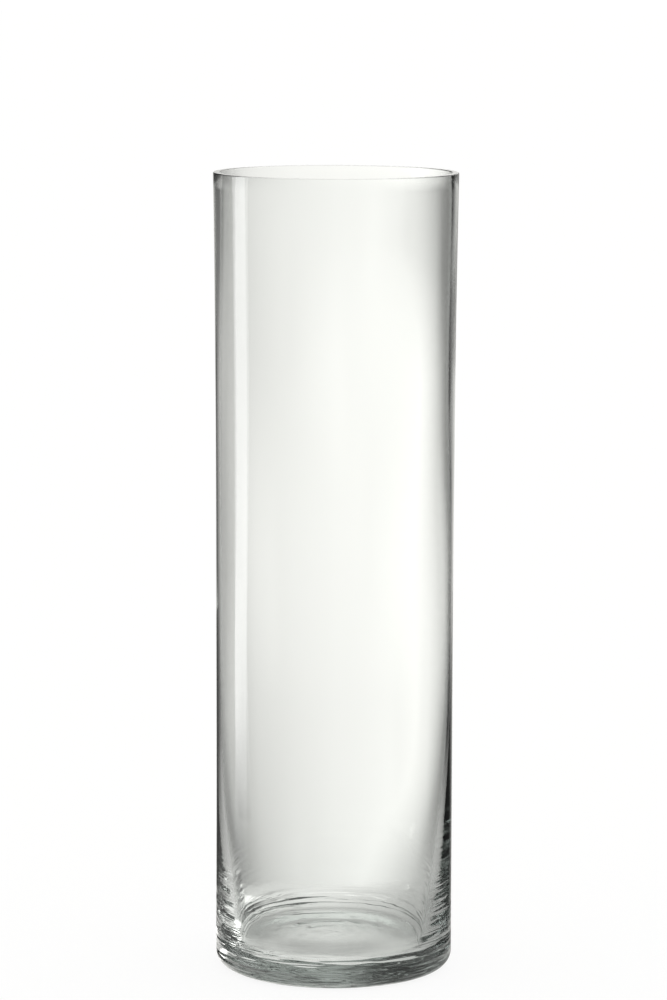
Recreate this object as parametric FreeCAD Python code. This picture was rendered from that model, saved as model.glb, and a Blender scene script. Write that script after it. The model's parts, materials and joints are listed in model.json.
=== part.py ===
"""Clear glass cylinder vase, about 15 cm across and 50 cm tall, standing on +Z.

The origin is the centre of the foot. The vase is mould-blown from one gather of glass: a
straight wall that widens slightly at the mouth, thin at mid height and thicker towards a
heavy base. The base and the wall are two solids that meet face to face where the inside
corner of the base ends. Sizes are in millimetres.
"""
import FreeCAD
import Part

import math
import os

# Driving dimensions
HEIGHT = 500.0
BODY_RADIUS = 74.25         # outside, over the straight part
MOUTH_RADIUS = 71.9         # inside, the same from mid height to the mouth
RIM_FLARE = 1.8             # how much wider the outside radius is at the rim
FLARE_START = 260.0         # height where the outside starts to widen

FLOOR_THICKNESS = 15.5      # from the foot to the inside floor
FLOOR_CORNER_RADIUS = 6.0   # inside, between the floor and the wall
WALL_EXTRA = 11.5           # how much thicker the wall is at the bottom of its taper
TAPER_LENGTH = 231.0        # height over which that extra thickness fades out

HEEL_RADIUS = 10.0          # outside, between the foot and the wall
PUNT_RADIUS = 58.0          # inner edge of the flat ring that it stands on
PUNT_DEPTH = 2.0            # how far the underside is hollowed at its centre

RIM_EDGE_RADIUS = 0.6       # fire-polished edges of the ground rim

# Worked out from these
TAPER_LEAN = math.atan(3.0 * WALL_EXTRA / TAPER_LENGTH)   # off vertical, at the taper's foot
CORNER_RADIUS_INSIDE = MOUTH_RADIUS - WALL_EXTRA          # inside radius where the corner ends
SEAM_HEIGHT = FLOOR_THICKNESS + FLOOR_CORNER_RADIUS * (1.0 - math.sin(TAPER_LEAN))
FLOOR_RADIUS = CORNER_RADIUS_INSIDE - FLOOR_CORNER_RADIUS * math.cos(TAPER_LEAN)
TAPER_TOP = SEAM_HEIGHT + TAPER_LENGTH
FOOT_RADIUS = BODY_RADIUS - HEEL_RADIUS                   # outer edge of the flat foot ring
FLARE_RISE = HEIGHT - FLARE_START
FLARE_ARC_RADIUS = (FLARE_RISE ** 2 + RIM_FLARE ** 2) / (2.0 * RIM_FLARE)


def at(radius, height):
    """A point of the half section, which lies in the XZ plane."""
    return FreeCAD.Vector(radius, 0.0, height)


def line(start, end):
    return Part.LineSegment(start, end).toShape()


def arc(centre, radius, start_angle, end_angle):
    """An arc of the section. Angles are in radians from +X towards +Z."""
    angles = (start_angle, (start_angle + end_angle) / 2.0, end_angle)
    points = [centre + at(radius * math.cos(a), radius * math.sin(a)) for a in angles]
    return Part.Arc(*points).toShape()


def start_of(edge):
    return edge.valueAt(edge.FirstParameter)


def end_of(edge):
    return edge.valueAt(edge.LastParameter)


def revolved(edges):
    """The solid that a closed section makes when it turns about Z."""
    face = Part.Face(Part.Wire(edges))
    solid = face.revolve(FreeCAD.Vector(0, 0, 0), FreeCAD.Vector(0, 0, 1), 360.0)
    if not solid.isValid():
        raise ValueError("the revolved section is not a valid solid")
    return solid


def outer_flare_and_rim_edge():
    """The widening outside wall, and the round edge that joins it to the flat rim."""
    centre = at(BODY_RADIUS + FLARE_ARC_RADIUS, FLARE_START)
    edge_height = HEIGHT - RIM_EDGE_RADIUS
    lean = math.asin((edge_height - FLARE_START) / (FLARE_ARC_RADIUS + RIM_EDGE_RADIUS))
    flare = arc(centre, FLARE_ARC_RADIUS, math.pi, math.pi - lean)
    edge_centre = centre + at(-math.cos(lean), math.sin(lean)) * (FLARE_ARC_RADIUS + RIM_EDGE_RADIUS)
    edge = arc(edge_centre, RIM_EDGE_RADIUS, -lean, math.pi / 2.0)
    return flare, edge


def inner_taper():
    """The inside of the lower wall, from the straight bore down to the base. Its extra
    thickness falls off with the cube of the height left, which one cubic curve gives."""
    steps = [TAPER_TOP - TAPER_LENGTH * k / 3.0 for k in range(4)]
    poles = [at(MOUTH_RADIUS, z) for z in steps[:3]] + [at(CORNER_RADIUS_INSIDE, steps[3])]
    curve = Part.BezierCurve()
    curve.setPoles(poles)
    return curve.toShape()


def cylinder_wall():
    flare, outer_edge = outer_flare_and_rim_edge()
    inner_edge = arc(at(MOUTH_RADIUS + RIM_EDGE_RADIUS, HEIGHT - RIM_EDGE_RADIUS),
                     RIM_EDGE_RADIUS, math.pi / 2.0, math.pi)
    taper = inner_taper()
    return revolved([
        line(at(BODY_RADIUS, SEAM_HEIGHT), at(BODY_RADIUS, FLARE_START)),
        flare,
        outer_edge,
        line(end_of(outer_edge), start_of(inner_edge)),
        inner_edge,
        line(end_of(inner_edge), at(MOUTH_RADIUS, TAPER_TOP)),
        taper,
        line(at(CORNER_RADIUS_INSIDE, SEAM_HEIGHT), at(BODY_RADIUS, SEAM_HEIGHT)),
    ])


def punt():
    """The shallow hollow of the underside, from the axis out to the foot ring."""
    radius = (PUNT_RADIUS ** 2 + PUNT_DEPTH ** 2) / (2.0 * PUNT_DEPTH)
    half_angle = math.asin(PUNT_RADIUS / radius)
    return arc(at(0.0, PUNT_DEPTH - radius), radius, math.pi / 2.0, math.pi / 2.0 - half_angle)


def thick_base():
    heel = arc(at(FOOT_RADIUS, HEEL_RADIUS), HEEL_RADIUS, -math.pi / 2.0, 0.0)
    corner = arc(at(FLOOR_RADIUS, FLOOR_THICKNESS + FLOOR_CORNER_RADIUS),
                 FLOOR_CORNER_RADIUS, -TAPER_LEAN, -math.pi / 2.0)
    return revolved([
        punt(),
        line(at(PUNT_RADIUS, 0.0), at(FOOT_RADIUS, 0.0)),
        heel,
        line(end_of(heel), at(BODY_RADIUS, SEAM_HEIGHT)),
        line(at(BODY_RADIUS, SEAM_HEIGHT), at(CORNER_RADIUS_INSIDE, SEAM_HEIGHT)),
        corner,
        line(end_of(corner), at(0.0, FLOOR_THICKNESS)),
        line(at(0.0, FLOOR_THICKNESS), at(0.0, PUNT_DEPTH)),
    ])


def main():
    os.makedirs("parts", exist_ok=True)
    for name, shape in (("cylinder_wall", cylinder_wall()), ("thick_base", thick_base())):
        shape.exportStep(os.path.join("parts", name + ".step"))
        print(name, "volume_cm3", round(shape.Volume / 1000.0, 1), "valid", shape.isValid())
    print("seam height", round(SEAM_HEIGHT, 3), "floor radius", round(FLOOR_RADIUS, 3),
          "taper top", round(TAPER_TOP, 3))


main()
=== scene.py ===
"""Looks of the clear glass cylinder vase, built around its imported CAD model. In metres."""

import json
import math

import bpy
import numpy as np
from mathutils import Matrix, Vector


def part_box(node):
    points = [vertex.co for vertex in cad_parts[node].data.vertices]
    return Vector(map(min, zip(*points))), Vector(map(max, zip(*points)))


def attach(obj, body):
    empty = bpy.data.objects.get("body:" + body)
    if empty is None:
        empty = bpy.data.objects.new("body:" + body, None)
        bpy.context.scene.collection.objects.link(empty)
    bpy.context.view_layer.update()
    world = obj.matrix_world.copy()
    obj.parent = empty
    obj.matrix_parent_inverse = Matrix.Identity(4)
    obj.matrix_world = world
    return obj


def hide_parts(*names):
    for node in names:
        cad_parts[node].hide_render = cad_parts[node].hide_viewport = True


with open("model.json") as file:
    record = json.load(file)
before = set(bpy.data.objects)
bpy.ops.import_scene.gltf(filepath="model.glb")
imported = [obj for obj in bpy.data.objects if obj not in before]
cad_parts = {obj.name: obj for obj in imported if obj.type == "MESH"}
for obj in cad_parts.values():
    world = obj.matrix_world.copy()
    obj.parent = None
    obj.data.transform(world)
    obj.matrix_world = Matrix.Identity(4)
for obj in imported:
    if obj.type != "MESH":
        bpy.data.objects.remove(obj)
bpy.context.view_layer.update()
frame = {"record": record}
mounts = {m["name"]: m for m in frame["record"]["mounts"]}

# The vase's own sizes, from the frame
base_low, base_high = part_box("thick_base")
wall_low, wall_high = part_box("cylinder_wall")
HEIGHT = wall_high.z
SEAM_HEIGHT = base_high.z
BODY_RADIUS = base_high.x
RIM_RADIUS = wall_high.x
MOUTH_RADIUS = mounts["mouth"]["dims"]["r_mm"] / 1000.0
BORE_LENGTH = mounts["mouth"]["dims"]["length_mm"] / 1000.0
FLOOR_HEIGHT = mounts["inside_floor"]["pos_m"][2]

# Sizes that the frame doesn't give, the same as in the CAD
RIM_EDGE_RADIUS = 0.0006
FLARE_START = 0.260
FLOOR_CORNER_RADIUS = 0.006
WALL_EXTRA = 0.0115
HEEL_RADIUS = 0.010
PUNT_RADIUS = 0.058
PUNT_DEPTH = 0.002
TAPER_TOP = HEIGHT - RIM_EDGE_RADIUS - BORE_LENGTH

# Small unevenness of blown glass
CAVITY_SHIFT = 0.0009       # sideways shift of the inside of the base, towards -X
SHIFT_TOP = 0.140           # height where that shift has faded out
RIPPLE_HEIGHT = 0.000014    # settle waves, on the outside of the lower wall
RIPPLE_LENGTH = 0.0034
RIPPLE_TOP = 0.125
CHILL_HEIGHT = 0.00003      # broader waves, on the inside just above the floor
CHILL_LENGTH = 0.0095
CHILL_FADE = (0.045, 0.022)     # height where they end, and where they are full
RING_HEIGHT = 0.00006       # rings in the inside floor, around a middle a little off the axis
RING_LENGTH = 0.010
RING_FADE = (0.050, 0.030)      # radius where they end, and where they are full
RING_MIDDLE = (-0.006, 0.004)
SWAY = 0.00030              # slow waviness of the whole wall
SWAY_FADE = (0.02, 0.1)         # height where it starts, and where it is full
FULL_UNEVEN_Z = 0.03        # the shift and the settle waves are full below this height

SEGMENTS = 192              # of the mesh, round the vase

# Fine streaks drawn round the foot, and at the two sides up the lower wall
STREAK_SCALE = (14.0, 14.0, 180.0)
STREAK_HEIGHT = 0.010
# Where they are
STREAK_OUTER = [(0.064, 0.0), (0.069, 1.0)]     # by distance from the axis
STREAK_LOW = [(0.018, 1.0), (0.026, 0.0)]       # by height, round the foot
STREAK_ABOVE = [(0.030, 0.6), (0.065, 0.0)]     # by height, at the sides
STREAK_EDGES = [(0.069, 0.0), (0.0738, 1.0)]    # by distance from the YZ plane, at the sides
STREAK_SIDE = [(-0.05, 1.0), (0.02, 0.45)]      # by x, fainter towards +X

# Clear glass
GLASS_COLOUR = (0.995, 1.0, 0.995, 1.0)
GLASS_IOR = 1.52
GLASS_TINT = (0.40, 0.45, 0.43, 1.0)
TINT_DENSITY = 14.0

# Camera, found from the vase's outline
CAMERA_DISTANCE = 2.5616    # level distance from the vase's axis
CAMERA_HEIGHT = 0.6497
CAMERA_SIDE = -0.00097
CAMERA_TILT = math.radians(7.87)
CAMERA_ROLL = math.radians(0.181)
CAMERA_LENS = 149.22        # mm on a 36 mm sensor

# Studio light, as (bearing, light) stops in degrees from straight behind the vase, + towards
# +X. Behind the vase there is a glow in the middle, a dark gap and a strip light to its left,
# and a dark board to its right. There is one such set for each height, from well below level
# to above it, and the room at the sides and behind the camera is the same for all four.
ROOM_LEFT = [(-180, 0.8), (-130, 0.45), (-90, 0.5)]
ROOM_RIGHT = [(90, 0.85), (135, 0.95), (180, 0.8)]
LOW_BACK = [(-65, 0.75), (-50, 0.45), (-17, 0.05), (-12, 0.25), (3, 1.15), (12, 0.5), (26, 0.05),
            (70, 0.05)]
MID_BACK = [(-65, 0.5), (-40, 0.75), (-16, 0.05), (-12, 0.35), (3, 1.2), (10, 0.6), (18, 0.6),
            (30, 0.0), (60, 0.0)]
HIGH_BACK = [(-65, 0.2), (-17, 0.1), (-12, 0.5), (2, 1.1), (8, 0.4), (20, 0.6), (34, 0.0),
             (54, 0.0), (68, 0.9)]
UPPER_BACK = [(-60, 0.0), (-13, 0.0), (-8, 0.6), (0, 1.0), (25, 0.95), (50, 0.7)]
# Degrees above level over which one set gives way to the next
LOW_TO_MID = (-12.0, -8.5)
MID_TO_HIGH = (-5.5, -3.5)
HIGH_TO_UPPER = (1.0, 6.0)
# By degrees above level: the strength of all of it, and how far it gives way to even light
LEVELS = [(-90, 1.6), (-50, 1.6), (-40, 0.7), (-24, 0.7), (-14, 1.0), (25, 1.0), (40, 1.3),
          (90, 1.3)]
COVER = [(-24, 1.0), (-15, 0.0), (25, 0.0), (45, 1.0)]
BACKDROP = 0.88             # plain backdrop that shows straight through the glass
PLAIN_SIDES = [(-50, 1.0), (-32, 0.0), (32, 0.0), (50, 1.0)]    # where it is, by bearing
PLAIN_LEVELS = [(-30, 1.0), (-20, 0.0), (20, 0.0), (40, 1.0)]   # and by degrees above level
WHITE = 1.05                # what the camera itself sees around the vase
WARMTH = (1.0, 0.997, 0.967, 1.0)
FULL_WHITE = (1.0, 1.0, 1.0, 1.0)

# Upright light panel to the left of the vase
PANEL_LIGHT = 2.3
PANEL_FOOT = ((-0.521, 0.158), (-0.553, -0.012))
PANEL_BOTTOM = -0.08
PANEL_TOP = 1.2
PANEL_FULL = 0.07           # height where its light has risen to full
PANEL_PASSES = 2.5          # its light goes through fewer glass faces than this: the near side

# Wide floor, which the camera sees
WIDE_RADIUS = 30.0
WIDE_COLOUR = (0.92, 0.92, 0.92, 1.0)
WIDE_GLOW = 1.04
WIDE_GLOW_SHARE = 0.85
WIDE_DROP = 0.0001          # how far below the foot it lies

# Small floor, which shows through the glass. Its light is a painted glow that goes by the distance from the
# axis, darker under the foot at the back and in the middle at the front as painted shade.
NEAR_RADIUS = 0.15
NEAR_DROP = 0.0002
NEAR_BACK = [(0.0, 0.8), (0.03, 0.75), (0.045, 0.5), (0.064, 0.5), (0.078, 0.85), (0.10, 0.95)]
NEAR_FRONT = [(0.0, 0.45), (0.025, 0.45), (0.04, 0.8), (0.066, 1.0), (0.078, 0.9), (0.10, 0.95)]
NEAR_TURN = [(-0.008, 1.0), (0.008, 0.0)]   # front gives way to back over this y
NEAR_SIDE = [(0.0, 1.0), (0.08, 0.55)]      # less of it towards +X
NEAR_CLEAR = [(0.12, 0.0), (0.15, 1.0)]     # how far it gives way to the studio beyond
# Painted light for what the thick glass gathers there: painted caustic spots, each with its centre, radius
# and strength, and a thin painted arc behind to the left
PAINTED_SPOTS = [((-0.088, 0.0), 0.016, 6.0), ((-0.080, 0.080), 0.016, 4.0)]
ARC_LIGHT = 0.6
ARC_PLACE = [(0.112, 0.0), (0.118, 1.0), (0.122, 1.0), (0.126, 0.0)]
ARC_LEFT = [(-0.075, 1.0), (-0.045, 0.0)]
ARC_BEHIND = [(0.02, 0.0), (0.05, 1.0)]

# The ranges of values that the ramps cover: degrees, then metres
BEARINGS = (-180, 180)
RISES = (-90, 90)
IN_GLASS = (0.0, 0.1)
ACROSS_GLASS = (-0.1, 0.1)
OVER_FLOOR = (0.0, 0.25)
ACROSS_FLOOR = (-0.2, 0.2)


def arc_points(centre, radius, start, end, count):
    """Points of a section arc (r, z), angles in radians from outwards towards up."""
    angles = np.linspace(start, end, count)
    return np.column_stack([centre[0] + radius * np.cos(angles), centre[1] + radius * np.sin(angles)])


def straight_points(start, end, count):
    """Points of a straight stretch of the section, ends included."""
    return np.linspace(start, end, count)


def half_section():
    """The closed outline of the glass as (r, z) points, from the middle of the underside round
    to the middle of the inside floor, and for each point whether it is on the inside."""
    quarter = math.pi / 2
    punt_arc = (PUNT_RADIUS ** 2 + PUNT_DEPTH ** 2) / (2 * PUNT_DEPTH)
    punt_half = math.asin(PUNT_RADIUS / punt_arc)
    foot_r = BODY_RADIUS - HEEL_RADIUS
    flare_rise = HEIGHT - FLARE_START
    flare = RIM_RADIUS - BODY_RADIUS
    flare_arc = (flare_rise ** 2 + flare ** 2) / (2 * flare)
    edge_z = HEIGHT - RIM_EDGE_RADIUS
    flare_turn = math.asin((edge_z - FLARE_START) / (flare_arc + RIM_EDGE_RADIUS))
    edge_r = BODY_RADIUS + flare_arc - (flare_arc + RIM_EDGE_RADIUS) * math.cos(flare_turn)
    taper_length = TAPER_TOP - SEAM_HEIGHT
    lean = math.atan(3 * WALL_EXTRA / taper_length)
    floor_r = MOUTH_RADIUS - WALL_EXTRA - FLOOR_CORNER_RADIUS * math.cos(lean)
    down = np.append(np.linspace(0, 0.8, 24), np.linspace(0.8, 1, 60)[1:])
    taper = np.column_stack([MOUTH_RADIUS - WALL_EXTRA * down ** 3, TAPER_TOP - taper_length * down])
    outside = [
        arc_points((0, PUNT_DEPTH - punt_arc), punt_arc, quarter, quarter - punt_half, 12),
        straight_points((PUNT_RADIUS, 0), (foot_r, 0), 4),
        arc_points((foot_r, HEEL_RADIUS), HEEL_RADIUS, -quarter, 0, 40),
        straight_points((BODY_RADIUS, HEEL_RADIUS), (BODY_RADIUS, RIPPLE_TOP), 170),
        straight_points((BODY_RADIUS, RIPPLE_TOP), (BODY_RADIUS, FLARE_START), 14),
        arc_points((BODY_RADIUS + flare_arc, FLARE_START), flare_arc, math.pi, math.pi - flare_turn, 24),
        arc_points((edge_r, edge_z), RIM_EDGE_RADIUS, -flare_turn, quarter, 9),
    ]
    inside = [
        arc_points((MOUTH_RADIUS + RIM_EDGE_RADIUS, edge_z), RIM_EDGE_RADIUS, quarter, math.pi, 9),
        straight_points((MOUTH_RADIUS, edge_z), (MOUTH_RADIUS, TAPER_TOP), 24),
        taper,
        arc_points((floor_r, FLOOR_HEIGHT + FLOOR_CORNER_RADIUS), FLOOR_CORNER_RADIUS, -lean, -quarter, 24),
        straight_points((floor_r, FLOOR_HEIGHT), (0, FLOOR_HEIGHT), 60),
    ]
    points = []
    is_inside = []
    for side, pieces in ((False, outside), (True, inside)):
        for r, z in np.concatenate(pieces):
            if not points or math.hypot(r - points[-1][0], z - points[-1][1]) > 1e-6:
                points.append((r, z))
                is_inside.append(side)
    return np.array(points), np.array(is_inside)


def fade(value, start, end):
    """0 at start, 1 at end, smooth between them."""
    t = np.clip((value - start) / (end - start), 0, 1)
    return t * t * (3 - 2 * t)


def uneven(r, z, angle, inside):
    """The x, y and z of glass points whose true place is at radius r, height z and an angle."""
    phase = 2 * math.pi * z / RIPPLE_LENGTH
    ripple = (np.sin(phase + 1.5 * np.sin(angle + 0.6) + 3.1 * np.sin(3 * angle))
              * (0.55 + 0.45 * np.sin(0.23 * phase + 5.0 * np.sin(angle + 0.4)))
              + 0.7 * np.sin(0.61 * phase + 4.1 * np.sin(2 * angle + 1.9)))
    ripple *= RIPPLE_HEIGHT * fade(z, RIPPLE_TOP, FULL_UNEVEN_Z) * fade(z, 0.0, 0.006)
    ripple *= 0.2 + 0.8 * np.cos(angle) ** 4
    phase = 2 * math.pi * (z - FLOOR_HEIGHT) / CHILL_LENGTH
    chill = np.sin(phase + 0.9 * np.sin(angle) + 0.5 * np.sin(4 * angle))
    chill *= CHILL_HEIGHT * fade(z, *CHILL_FADE) * fade(z, FLOOR_HEIGHT, FLOOR_HEIGHT + 0.006)
    sway = SWAY * (np.sin(2 * angle + 9 * z) + 0.5 * np.sin(5 * angle - 23 * z + 1.0))
    sway *= fade(z, *SWAY_FADE) * fade(z, HEIGHT, HEIGHT - 0.05)
    away = np.hypot(r * np.cos(angle) - RING_MIDDLE[0], r * np.sin(angle) - RING_MIDDLE[1])
    ring = np.sin(2 * math.pi * away / RING_LENGTH + 0.8 * np.sin(angle + 1) + 0.7 * np.sin(3 * angle))
    ring *= RING_HEIGHT * fade(r, *RING_FADE) * (0.65 + 0.35 * np.sin(2 * angle + 2))
    shift = CAVITY_SHIFT * fade(z, SHIFT_TOP, FULL_UNEVEN_Z)
    radius = r + np.where(inside > 0, chill + 0.6 * sway, ripple - 0.4 * np.abs(sway))
    x = radius * np.cos(angle) - inside * shift * fade(r, 0.0, 0.02)
    return x, radius * np.sin(angle), z + inside * ring


def revolve(points, is_inside, name):
    """A closed mesh from a section whose first and last points lie on the axis."""
    rings = points[1:-1]
    angles = np.arange(SEGMENTS) * (2 * math.pi / SEGMENTS)
    r, angle = np.meshgrid(rings[:, 0], angles, indexing="ij")
    z = np.meshgrid(rings[:, 1], angles, indexing="ij")[0]
    inside = np.meshgrid(is_inside[1:-1].astype(float), angles, indexing="ij")[0]
    around = np.stack(uneven(r, z, angle, inside), axis=-1).reshape(-1, 3)
    verts = np.concatenate([[(0, 0, points[0][1])], around, [(0, 0, points[-1][1])]])
    last = len(verts) - 1
    faces = []
    for k in range(SEGMENTS):
        nxt = (k + 1) % SEGMENTS
        faces.append((0, 1 + nxt, 1 + k))
        for ring in range(len(rings) - 1):
            a = 1 + ring * SEGMENTS
            b = a + SEGMENTS
            faces.append((a + k, a + nxt, b + nxt, b + k))
        top = 1 + (len(rings) - 1) * SEGMENTS
        faces.append((top + k, top + nxt, last))
    mesh = bpy.data.meshes.new(name)
    mesh.from_pydata(verts.tolist(), [], faces)
    mesh.polygons.foreach_set("use_smooth", [True] * len(mesh.polygons))
    mesh.update()
    obj = bpy.data.objects.new(name, mesh)
    bpy.context.scene.collection.objects.link(obj)
    return obj


def feed(tree, socket, value):
    """Give a socket a fixed value, or link another node's output to it."""
    if isinstance(value, bpy.types.NodeSocket):
        tree.links.new(value, socket)
    else:
        socket.default_value = value


def math_node(tree, operation, *values):
    """The result of an operation on one or two values."""
    node = tree.nodes.new("ShaderNodeMath")
    node.operation = operation
    for socket, value in zip(node.inputs, values):
        feed(tree, socket, value)
    return node.outputs[0]


def times(tree, *values):
    """The product of two or more values."""
    product = values[0]
    for value in values[1:]:
        product = math_node(tree, "MULTIPLY", product, value)
    return product


def place_of(tree, coordinates="Object"):
    """The shaded point's place, whole and as its x, y and z."""
    place = tree.nodes.new("ShaderNodeTexCoord").outputs[coordinates]
    split = tree.nodes.new("ShaderNodeSeparateXYZ")
    tree.links.new(place, split.inputs[0])
    return place, split.outputs["X"], split.outputs["Y"], split.outputs["Z"]


def ramp(tree, value, stops, reach):
    """What the (value, result) stops give for a value, where reach is the range they cover."""
    low, high = reach
    node = tree.nodes.new("ShaderNodeValToRGB")
    span = math_node(tree, "DIVIDE", math_node(tree, "SUBTRACT", value, low), high - low)
    tree.links.new(span, node.inputs[0])
    elements = node.color_ramp.elements
    while len(elements) > 1:
        elements.remove(elements[0])
    for i, (place, result) in enumerate(stops):
        position = (place - low) / (high - low)
        stop = elements[0] if i == 0 else elements.new(position)
        stop.position = position
        stop.color = (result, result, result, 1.0)
    return node.outputs[0]


def seen_by_reflection(tree):
    """1 for light that reaches the camera by way of a reflection, 0 for light straight through."""
    depth = tree.nodes.new("ShaderNodeLightPath").outputs["Glossy Depth"]
    return math_node(tree, "GREATER_THAN", depth, 0.5)


def blend(tree, share, a, b, how="MIX"):
    """Colour a, giving way to b by a share."""
    node = tree.nodes.new("ShaderNodeMix")
    node.data_type = "RGBA"
    node.blend_type = how
    feed(tree, node.inputs[0], share)
    feed(tree, node.inputs[6], a)
    feed(tree, node.inputs[7], b)
    return node.outputs[2]


def mix_shaders(tree, share, a, b):
    """Shader a, giving way to b by a share."""
    node = tree.nodes.new("ShaderNodeMixShader")
    for socket, value in zip(node.inputs, (share, a, b)):
        feed(tree, socket, value)
    return node.outputs[0]


def glow(tree, strength, colour=FULL_WHITE, kind="ShaderNodeEmission"):
    """Light of a surface's own, or of the world's background."""
    node = tree.nodes.new(kind)
    feed(tree, node.inputs["Color"], colour)
    feed(tree, node.inputs["Strength"], strength)
    return node.outputs[0]


def clear(tree):
    """A surface that light passes as if it weren't there."""
    return tree.nodes.new("ShaderNodeBsdfTransparent").outputs[0]


def new_material(name):
    mat = bpy.data.materials.new(name)
    mat.use_nodes = True
    return mat


def glass_material():
    """Clear glass whose tint deepens with its thickness, with streaks around the foot."""
    mat = new_material("clear_glass")
    tree = mat.node_tree
    nodes = tree.nodes
    links = tree.links
    shader = nodes["Principled BSDF"]
    shader.inputs["Base Color"].default_value = GLASS_COLOUR
    shader.inputs["Roughness"].default_value = 0.0
    shader.inputs["IOR"].default_value = GLASS_IOR
    shader.inputs["Transmission Weight"].default_value = 1.0
    place, x, y, z = place_of(tree)
    stretch = nodes.new("ShaderNodeMapping")
    stretch.inputs["Scale"].default_value = STREAK_SCALE
    links.new(place, stretch.inputs["Vector"])
    streaks = nodes.new("ShaderNodeTexNoise")
    streaks.inputs["Scale"].default_value = 1.0
    streaks.inputs["Detail"].default_value = 2.0
    links.new(stretch.outputs["Vector"], streaks.inputs["Vector"])
    squares = [math_node(tree, "POWER", value, 2.0) for value in (x, y)]
    away = math_node(tree, "SQRT", math_node(tree, "ADD", *squares))
    outer = ramp(tree, away, STREAK_OUTER, IN_GLASS)
    edges = ramp(tree, math_node(tree, "ABSOLUTE", x), STREAK_EDGES, IN_GLASS)
    above = times(tree, ramp(tree, z, STREAK_ABOVE, IN_GLASS), edges)
    low = math_node(tree, "MAXIMUM", ramp(tree, z, STREAK_LOW, IN_GLASS), above)
    bump = nodes.new("ShaderNodeBump")
    bump.inputs["Distance"].default_value = STREAK_HEIGHT
    strength = times(tree, outer, low, ramp(tree, x, STREAK_SIDE, ACROSS_GLASS))
    links.new(strength, bump.inputs["Strength"])
    links.new(streaks.outputs["Fac"], bump.inputs["Height"])
    links.new(bump.outputs["Normal"], shader.inputs["Normal"])
    tint = nodes.new("ShaderNodeVolumeAbsorption")
    tint.inputs["Color"].default_value = GLASS_TINT
    tint.inputs["Density"].default_value = TINT_DENSITY
    links.new(tint.outputs["Volume"], nodes["Material Output"].inputs["Volume"])
    return mat


def make_vase():
    """The whole vase as one closed skin, in place of both CAD nodes."""
    points, is_inside = half_section()
    vase = revolve(points, is_inside, "vase_glass")
    vase.data.materials.append(glass_material())
    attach(vase, "root")
    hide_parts("cylinder_wall", "thick_base")


def disc(name, radius, height):
    """A flat round face."""
    corners = 96
    angles = np.arange(corners) * (2 * math.pi / corners)
    verts = [(radius * math.cos(a), radius * math.sin(a), height) for a in angles]
    mesh = bpy.data.meshes.new(name)
    mesh.from_pydata(verts, [], [tuple(range(corners))])
    obj = bpy.data.objects.new(name, mesh)
    bpy.context.scene.collection.objects.link(obj)
    return obj


def wide_floor_material():
    """A pale floor that gives part of its own light, so that its shadows stay faint."""
    mat = new_material("floor_wide")
    tree = mat.node_tree
    shader = tree.nodes["Principled BSDF"]
    shader.inputs["Base Color"].default_value = WIDE_COLOUR
    shader.inputs["Roughness"].default_value = 0.8
    shader.inputs["Specular IOR Level"].default_value = 0.0
    surface = mix_shaders(tree, WIDE_GLOW_SHARE, shader.outputs[0], glow(tree, WIDE_GLOW))
    tree.links.new(surface, tree.nodes["Material Output"].inputs["Surface"])
    return mat


def near_floor_material():
    """The floor close to the foot, with a painted glow in place of lamp light: painted shade under the foot
    at the back, less light towards +X, and painted caustics for the light that the thick glass gathers on
    it. The spots show only in reflections, and the arc shows straight through as well."""
    mat = new_material("floor_near")
    tree = mat.node_tree
    tree.nodes.remove(tree.nodes["Principled BSDF"])
    place, x, y, z = place_of(tree)
    length = tree.nodes.new("ShaderNodeVectorMath")
    length.operation = "LENGTH"
    tree.links.new(place, length.inputs[0])
    away = length.outputs["Value"]
    # Painted glow of the floor: painted shade under the foot, and less light towards +X, away from the
    # panel
    light = blend(tree, ramp(tree, y, NEAR_TURN, ACROSS_FLOOR),
                  ramp(tree, away, NEAR_BACK, OVER_FLOOR), ramp(tree, away, NEAR_FRONT, OVER_FLOOR))
    light = times(tree, light, ramp(tree, x, NEAR_SIDE, ACROSS_FLOOR))
    # Painted caustics: a thin arc behind to the left, and spots that show only in reflections
    arc = times(tree, ramp(tree, away, ARC_PLACE, OVER_FLOOR), ramp(tree, x, ARC_LEFT, ACROSS_FLOOR),
                ramp(tree, y, ARC_BEHIND, ACROSS_FLOOR), ARC_LIGHT)
    spots = 0.0
    for centre, radius, strength in PAINTED_SPOTS:
        gap = tree.nodes.new("ShaderNodeVectorMath")
        gap.operation = "DISTANCE"
        tree.links.new(place, gap.inputs[0])
        gap.inputs[1].default_value = (*centre, 0.0)
        spot = ramp(tree, gap.outputs["Value"], [(0.0, strength), (radius, 0.0)], IN_GLASS)
        spots = math_node(tree, "ADD", spots, spot)
    painted_caustics = math_node(tree, "ADD", times(tree, spots, seen_by_reflection(tree)), arc)
    plain = mix_shaders(tree, ramp(tree, away, NEAR_CLEAR, OVER_FLOOR), glow(tree, light, WARMTH),
                        clear(tree))
    both = tree.nodes.new("ShaderNodeAddShader")
    tree.links.new(plain, both.inputs[0])
    tree.links.new(glow(tree, painted_caustics, WARMTH), both.inputs[1])
    tree.links.new(both.outputs[0], tree.nodes["Material Output"].inputs["Surface"])
    return mat


def make_floor():
    """The wide floor is what the camera sees; the small one is what shows through the glass."""
    wide = disc("floor_wide", WIDE_RADIUS, -WIDE_DROP)
    wide.data.materials.append(wide_floor_material())
    wide.visible_transmission = False
    wide.visible_glossy = False
    wide.visible_diffuse = False
    near = disc("floor_near", NEAR_RADIUS, -NEAR_DROP)
    near.data.materials.append(near_floor_material())
    near.visible_camera = False
    near.visible_diffuse = False


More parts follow.
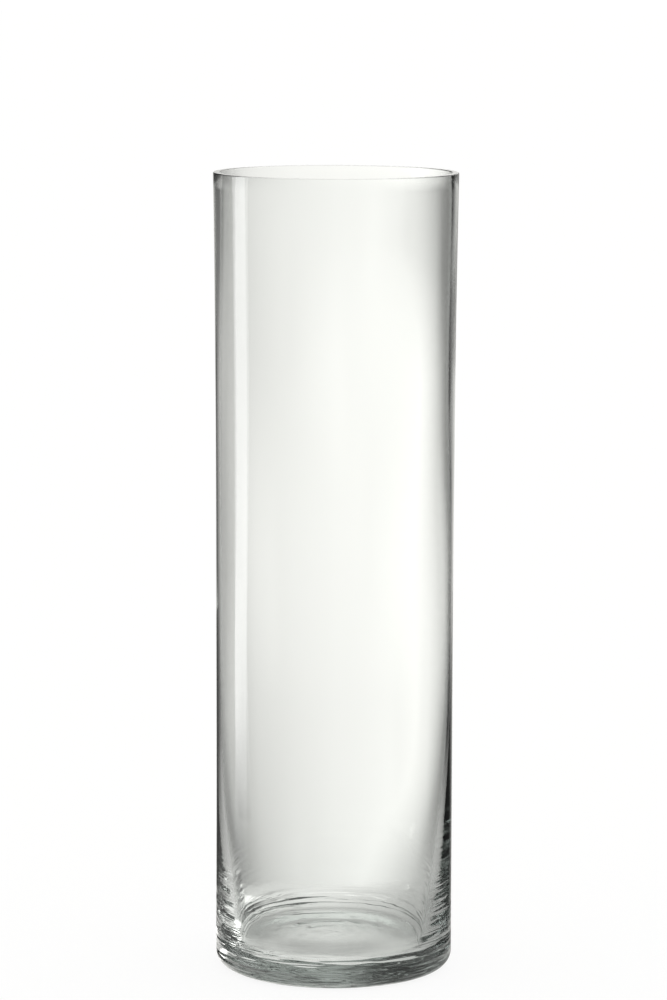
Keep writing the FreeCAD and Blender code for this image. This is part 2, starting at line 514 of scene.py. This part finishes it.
def panel_material():
    """Light that fades out towards the panel's foot."""
    mat = new_material("light_panel")
    tree = mat.node_tree
    tree.nodes.remove(tree.nodes["Principled BSDF"])
    z = place_of(tree)[3]
    light = ramp(tree, z, [(PANEL_BOTTOM, 0.0), (PANEL_FULL, PANEL_LIGHT)], ACROSS_GLASS)
    passes = tree.nodes.new("ShaderNodeLightPath").outputs["Transmission Depth"]
    near_side = math_node(tree, "LESS_THAN", passes, PANEL_PASSES)
    shown = times(tree, seen_by_reflection(tree), near_side)
    surface = mix_shaders(tree, shown, clear(tree), glow(tree, light))
    tree.links.new(surface, tree.nodes["Material Output"].inputs["Surface"])
    return mat


def make_panel():
    """An upright light panel. Only reflections in the near side of the glass show it."""
    (x0, y0), (x1, y1) = PANEL_FOOT
    corners = [(x0, y0, PANEL_BOTTOM), (x1, y1, PANEL_BOTTOM), (x1, y1, PANEL_TOP), (x0, y0, PANEL_TOP)]
    mesh = bpy.data.meshes.new("light_panel")
    mesh.from_pydata(corners, [], [(0, 1, 2, 3)])
    panel = bpy.data.objects.new("light_panel", mesh)
    bpy.context.scene.collection.objects.link(panel)
    panel.data.materials.append(panel_material())
    panel.visible_camera = False
    panel.visible_diffuse = False


def make_world():
    """A studio whose light goes by direction. It shows in reflections; straight through the
    glass there is a pale backdrop, and the camera itself sees plain white."""
    world = bpy.data.worlds.new("studio")
    bpy.context.scene.world = world
    world.use_nodes = True
    tree = world.node_tree
    tree.nodes.clear()
    x, y, z = place_of(tree, "Generated")[1:]
    turn = math_node(tree, "ARCTAN2", x, y)
    bearing = math_node(tree, "MULTIPLY", turn, math.degrees(1))
    rise = math_node(tree, "MULTIPLY", math_node(tree, "ARCSINE", z), math.degrees(1))
    bands = ramp(tree, bearing, ROOM_LEFT + LOW_BACK + ROOM_RIGHT, BEARINGS)
    for (start, end), back in ((LOW_TO_MID, MID_BACK), (MID_TO_HIGH, HIGH_BACK),
                               (HIGH_TO_UPPER, UPPER_BACK)):
        share = ramp(tree, rise, [(start, 0.0), (end, 1.0)], RISES)
        bands = blend(tree, share, bands, ramp(tree, bearing, ROOM_LEFT + back + ROOM_RIGHT, BEARINGS))
    plain = math_node(tree, "MAXIMUM", ramp(tree, bearing, PLAIN_SIDES, BEARINGS),
                      ramp(tree, rise, PLAIN_LEVELS, RISES))
    through = blend(tree, plain, bands, (BACKDROP, BACKDROP, BACKDROP, 1.0))
    reflected = blend(tree, ramp(tree, rise, COVER, RISES), bands, FULL_WHITE)
    levels = ramp(tree, rise, LEVELS, RISES)
    seen_through, seen_reflected, white = (
        glow(tree, strength, light, "ShaderNodeBackground") for strength, light in (
            (1.0, blend(tree, 1.0, through, WARMTH, "MULTIPLY")),
            (levels, blend(tree, 1.0, reflected, WARMTH, "MULTIPLY")),
            (WHITE, FULL_WHITE)))
    glass_sees = mix_shaders(tree, seen_by_reflection(tree), seen_through, seen_reflected)
    from_camera = tree.nodes.new("ShaderNodeLightPath").outputs["Is Camera Ray"]
    out = tree.nodes.new("ShaderNodeOutputWorld")
    tree.links.new(mix_shaders(tree, from_camera, glass_sees, white), out.inputs[0])


def make_camera():
    """A little above the rim and looking a little down."""
    data = bpy.data.cameras.new("camera")
    data.lens = CAMERA_LENS
    data.clip_end = 100
    camera = bpy.data.objects.new("camera", data)
    bpy.context.scene.collection.objects.link(camera)
    place = Matrix.Translation((CAMERA_SIDE, -CAMERA_DISTANCE, CAMERA_HEIGHT))
    aim = Matrix.Rotation(math.pi / 2 - CAMERA_TILT, 4, "X")
    camera.matrix_world = place @ aim @ Matrix.Rotation(CAMERA_ROLL, 4, "Z")
    bpy.context.scene.camera = camera


def make_light_paths():
    """Plain colours, and enough bounces for light to find its way out of the thick base."""
    scene = bpy.context.scene
    scene.view_settings.view_transform = "Standard"
    scene.cycles.max_bounces = 24
    scene.cycles.transmission_bounces = 24
    scene.cycles.glossy_bounces = 12
    scene.cycles.diffuse_bounces = 3


make_camera()
make_vase()
make_floor()
make_panel()
make_world()
make_light_paths()
